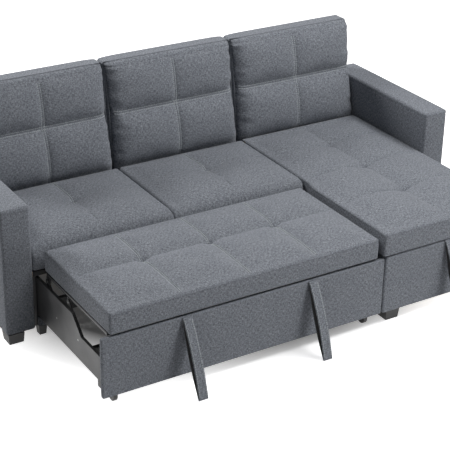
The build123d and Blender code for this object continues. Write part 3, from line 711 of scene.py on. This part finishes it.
class SOFA_OT_panels(bpy.types.Operator):
    """Covered boards, rear covers, the cloth over the ends of the back, and a near-black sheet over the
    seat rail as painted shade
    """
    bl_idname = "sofa.panels"
    bl_label = "Covered panels"

    def execute(self, context):
        plans = [
            ("bed_front_panel", "bed_front", "bed_drawer", 0.006, 0.0015, "linen_fabric"),
            ("chaise_front_panel", "chaise_front", "sofa_base", 0.008, 0.0015, "linen_fabric"),
            ("chaise_left_wall", "chaise_left_side", "sofa_base", 0.004, 0.0, "linen_fabric"),
            ("chaise_right_wall", "chaise_right_side", "sofa_base", 0.004, 0.0, "linen_fabric"),
            ("guide_rail_left", "left_guide_rail_cover", "sofa_base", 0.004, 0.0, "linen_fabric"),
            ("guide_rail_right", "right_guide_rail_cover", "sofa_base", 0.004, 0.0, "linen_fabric"),
            ("sofa_back_cover", "sofa_rear_cover", "sofa_base", 0.0015, 0.0, "back_fabric"),
            ("chaise_back_cover", "chaise_rear_cover", "sofa_base", 0.0015, 0.0, "back_fabric"),
        ]
        for cad, name, body, edge, crown, slot in plans:
            made = covered_block(name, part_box(cad), edge, crown)
            fit(made, body, [cad])
        rear_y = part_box("sofa_back_cover")[1].y - 0.0005
        for side, sign in (("left", -1), ("right", 1)):
            low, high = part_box("back_cushion_" + side)
            end = sign * (max(abs(low.x), abs(high.x)) + 0.0035)
            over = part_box(side + "_arm_cover")[1].z + 0.001
            box = ((end - 0.001, high.y, over), (end + 0.001, rear_y, high.z - 0.02))
            wrap = covered_block(side + "_back_end", box, 0.0008, 0.0)
            fit(wrap, "sofa_base", ())
        # the front of the seat rail is wrapped in the near-black sheet: painted shade in the gap between
        # the seat and the bed, which also hides the pine
        low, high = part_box("seat_frame")
        over, lap = Vector((0.0, 0.0012, 0.0008)), 0.05
        rail = (low - over, Vector((high.x, low.y + lap, high.z)) + over)
        wrap = covered_block("seat_rail_wrap", rail, 0.003, 0.0)
        wrap.material_slots[0].material = painted_shade_sheet()
        fit(wrap, "sofa_base", ())
        return {"FINISHED"}


def strap(name, x, root, tail, body, cad):
    """A folded pull strap: two plies that part in the middle, edge-stitched, leaning out to the floor."""
    # half the gap between the plies, where they are sewn and where they part
    close, part = 0.0013, 0.0135
    width, thick, hem = 0.040, 0.0022, 0.005
    tip = np.array((-0.7035, 0.0042))
    root = np.array(root)
    along = (tip - root) / np.linalg.norm(tip - root)
    out = np.array((along[1], -along[0]))
    steps = np.linspace(0, 1, 33)
    rise = np.sin(np.pi * steps) ** 0.9
    outer, inner = ([root + (tip - root) * t + side * out * (close + (part - close) * r)
                     for t, r in zip(steps, rise)] for side in (1, -1))
    path = [np.array(p) for p in tail] + outer + [tip + along * 0.0016] + inner[::-1]
    across = np.linspace(-width / 2, width / 2, 9)
    verts = [(x + a, p[0], p[1]) for p in path for a in across]
    faces, cloth = [], []
    walked = np.concatenate([[0], np.cumsum([np.linalg.norm(b - a) for a, b in zip(path, path[1:])])])
    for i in range(len(path) - 1):
        for j in range(len(across) - 1):
            k = i * len(across) + j
            faces.append((k, k + len(across), k + len(across) + 1, k + 1))
            cloth += [(across[j], walked[i]), (across[j], walked[i + 1]), (across[j + 1], walked[i + 1]),
                      (across[j + 1], walked[i])]
    mesh = bpy.data.meshes.new(name)
    mesh.from_pydata(verts, [], faces)
    mesh.uv_layers.new(name="cloth").data.foreach_set("uv", np.array(cloth, np.float32).ravel())
    mesh.materials.append(linen_weave())
    # the second material, the near-black sheet on the inner plies, is painted shade inside the fold
    mesh.materials.append(painted_shade_sheet())
    mesh.shade_smooth()
    made = bpy.data.objects.new(name, mesh)
    bpy.context.scene.collection.objects.link(made)
    ply = made.modifiers.new("ply", "SOLIDIFY")
    ply.thickness = thick
    ply.offset = 0
    ply.material_offset = 1
    fit(made, body, [cad])
    rows = [[(x + side * (width / 2 - hem), p[0], p[1]) for p in outer[1:-1]] for side in (-1, 1)]
    stitches(name + "_edge_stitch", rows, surface(made), (0, 1, -0.42), body)


class SOFA_OT_pull_straps(bpy.types.Operator):
    """Folded pull straps on the bed front and under the chaise lid"""
    bl_idname = "sofa.pull_straps"
    bl_label = "Pull straps"

    def execute(self, context):
        root = (-0.57925, 0.2920)
        tail = [(-0.57925, z) for z in (0.252, 0.266, 0.280)]
        for side, x in (("left", -0.595), ("right", -0.037)):
            strap(side + "_bed_strap", x, root, tail, "bed_drawer", "bed_pull_strap_" + side)
        lid_tail = [(y, 0.30175) for y in (-0.553, -0.562, -0.572, -0.580)]
        strap("lid_strap", 0.632, (-0.5838, 0.3000), lid_tail, "chaise_lid", "lid_pull_strap")
        return {"FINISHED"}


class SOFA_OT_frame_finishes(bpy.types.Operator):
    """Finishes of the timber, boards, feet, webbing and hardware"""
    bl_idname = "sofa.frame_finishes"
    bl_label = "Frame finishes"

    def execute(self, context):
        # planed pine: warm straw bands, dull and dry
        pine = timber("planed_pine", "B98F5C", "DDB987", 0.006, 0.11, 0.6)
        # birch plywood: paler and more even, sanded smooth
        birch = timber("birch_plywood", "C3A276", "DCC49C", 0.009, 0.14, 0.55)
        # laminated fibreboard: a charcoal film with a soft, broad sheen
        laminate = grained("black_laminated_fibreboard", "2B2B2C", "3A3A3B", 0.004, 0.42)
        # moulded polypropylene: near black, with a satin pebble grain
        plastic = grained("moulded_polypropylene", "161617", "222223", 0.0025, 0.48)
        # nylon wheels: near black, a little glossier from running
        nylon = grained("nylon_wheel", "1B1B1C", "29292A", 0.002, 0.4)
        # zinc plating: cool, bright and faintly mottled
        zinc = grained("zinc_plated_steel", "9A9B98", "C4C5C1", 0.003, 0.34, metallic=1.0, depth=0.0001)
        # powder coating: black, with the fine ripple of baked paint
        satin = grained("powder_coated_steel", "1C1C1D", "2A2A2B", 0.0016, 0.38)
        # elastic webbing: dull black band with a coarse rib
        band = grained("elastic_webbing", "2C2C2E", "48484B", 0.0035, 0.85, depth=0.0008)
        finishes = {"softwood": pine, "plywood": birch, "black_board": laminate, "black_plastic": plastic,
                    "wheel_plastic": nylon, "zinc_steel": zinc, "webbing": band, "black_steel": satin}
        for row in frame["record"]["subparts"]:
            made = frame["nodes"][row["node"]]
            finish = finishes.get(row["material_slot"])
            if finish is None:
                continue
            if not made.data.materials:
                made.data.materials.append(finish)
            for slot in made.material_slots:
                slot.material = finish
        return {"FINISHED"}


class SOFA_OT_stage(bpy.types.Operator):
    """Pale floor, soft light and the camera"""
    bl_idname = "sofa.stage"
    bl_label = "Stage"

    def execute(self, context):
        scene = context.scene
        stage = scene.sofa_stage
        scene.view_settings.view_transform = "Standard"
        bpy.ops.mesh.primitive_grid_add(x_subdivisions=2, y_subdivisions=2, size=30, location=(0, 0, 0))
        floor = context.object
        floor.name = "studio_floor"
        made, tree, shader = start("white_studio_floor")
        path = node(tree, "ShaderNodeLightPath")
        seen = node(tree, "ShaderNodeMath", [(0, path, "Is Camera Ray"), (1, path, "Is Glossy Ray")],
                    operation="MAXIMUM")
        seen = node(tree, "ShaderNodeMath", [(0, seen, 0), (1, path, "Is Transmission Ray")],
                    operation="MAXIMUM")
        # to the camera the floor glows white of itself; under the sofa the glow fades out in an ellipse
        # set towards the rear, painted shade that darkens the floor there, most at the rear, and lets the
        # shadows show
        place = node(tree, "ShaderNodeTexCoord")
        centre, reach = (0.0, 0.38, 0.0), (1.25, 1.25, 1.0)
        around = node(tree, "ShaderNodeVectorMath", [(0, place, "Object")], operation="SUBTRACT")
        around.inputs[1].default_value = centre
        around = node(tree, "ShaderNodeVectorMath", [(0, around, 0)], operation="DIVIDE")
        around.inputs[1].default_value = reach
        away = node(tree, "ShaderNodeVectorMath", [(0, around, 0)], operation="LENGTH")
        glow_with_painted_shade = node(tree, "ShaderNodeMapRange", [("Value", away, "Value")], From_Min=0.68, From_Max=0.9,
                   To_Min=0.04, To_Max=1.0)
        glow = node(tree, "ShaderNodeMath", [(0, glow_with_painted_shade, 0), (1, seen, 0)], operation="MULTIPLY")
        tree.links.new(glow.outputs[0], shader.inputs["Emission Strength"])
        shader.inputs["Emission Color"].default_value = (1, 1, 1, 1)
        stops = [(0.0, srgb("F0F0F0")), (1.0, srgb("F2F2F2"))]
        pale = node(tree, "ShaderNodeValToRGB", [("Fac", seen, 0)], stops)
        tree.links.new(pale.outputs["Color"], shader.inputs["Base Color"])
        shader.inputs["Roughness"].default_value = 0.9
        shader.inputs["Specular IOR Level"].default_value = 0.0
        floor.data.materials.append(made)
        world = scene.world or bpy.data.worlds.new("studio")
        scene.world = world
        world.use_nodes = True
        back = world.node_tree.nodes["Background"]
        back.inputs["Color"].default_value = (1, 1, 1, 1)
        tree = world.node_tree
        path = node(tree, "ShaderNodeLightPath")
        seen = node(tree, "ShaderNodeMath", [(0, path, "Is Camera Ray"), (1, path, "Is Glossy Ray")],
                    operation="MAXIMUM")
        level = node(tree, "ShaderNodeMapRange", [("Value", seen, 0)], To_Min=stage.ambient, To_Max=1.0)
        tree.links.new(level.outputs[0], back.inputs["Strength"])
        aim = Vector((0, 0, 0.3))
        for name, power, size, place in (("overhead_softbox", stage.top, 2.4, (1.7, -1.2, 4.5)),
                                         ("rear_softbox", stage.rear, 2.0, (-2.3, 3.6, 3.0)),
                                         ("fill_softbox", stage.fill, 0.8, (1.0, -3.6, 0.35))):
            lamp = bpy.data.lights.new(name, "AREA")
            lamp.energy = power
            lamp.size = size
            made = bpy.data.objects.new(name, lamp)
            made.location = place
            made.rotation_euler = (aim - Vector(place)).to_track_quat("-Z", "Y").to_euler()
            scene.collection.objects.link(made)
        eye = bpy.data.cameras.new("photo_camera")
        eye.lens = stage.lens
        eye.sensor_width = 36
        camera = bpy.data.objects.new("photo_camera", eye)
        az, el, roll = stage.azimuth, stage.elevation, stage.roll
        ahead = Vector((math.sin(az) * math.cos(el), math.cos(az) * math.cos(el), -math.sin(el)))
        right = Vector((math.cos(az), -math.sin(az), 0))
        up = right.cross(ahead)
        side = right * math.cos(roll) + up * math.sin(roll)
        over = up * math.cos(roll) - right * math.sin(roll)
        turn = Matrix((side, over, -ahead)).transposed().to_4x4()
        camera.matrix_world = Matrix.Translation(Vector(stage.place)) @ turn
        scene.collection.objects.link(camera)
        scene.camera = camera
        return {"FINISHED"}


class SOFA_PT_panel(bpy.types.Panel):
    """Sidebar panel with the steps in order"""
    bl_idname = "SOFA_PT_panel"
    bl_label = "Sofa bed"
    bl_space_type = "VIEW_3D"
    bl_region_type = "UI"
    bl_category = "Sofa bed"

    def draw(self, context):
        for step in STEPS:
            self.layout.operator(step.bl_idname)
        for name, kind in GROUPS.items():
            box = self.layout.box()
            for key in kind.__annotations__:
                box.prop(getattr(context.scene, name), key)


STEPS = (SOFA_OT_stage, SOFA_OT_frame_finishes, SOFA_OT_arms, SOFA_OT_panels, SOFA_OT_back_cushions,
         SOFA_OT_seat_cushions, SOFA_OT_chaise_cushion, SOFA_OT_bed_cushion, SOFA_OT_pull_straps)
GROUPS = {"sofa_upholstery": UpholsterySettings, "sofa_cushions": CushionSettings,
          "sofa_stage": StageSettings}


def register():
    for kind in (*GROUPS.values(), *STEPS, SOFA_PT_panel):
        bpy.utils.register_class(kind)
    for name, kind in GROUPS.items():
        setattr(bpy.types.Scene, name, PointerProperty(type=kind))


def unregister():
    for name in GROUPS:
        delattr(bpy.types.Scene, name)
    for kind in reversed((*GROUPS.values(), *STEPS, SOFA_PT_panel)):
        bpy.utils.unregister_class(kind)


def main():
    register()
    for step in STEPS:
        group, name = step.bl_idname.split(".")
        getattr(getattr(bpy.ops, group), name)()


if __name__ == "__main__":
    main()
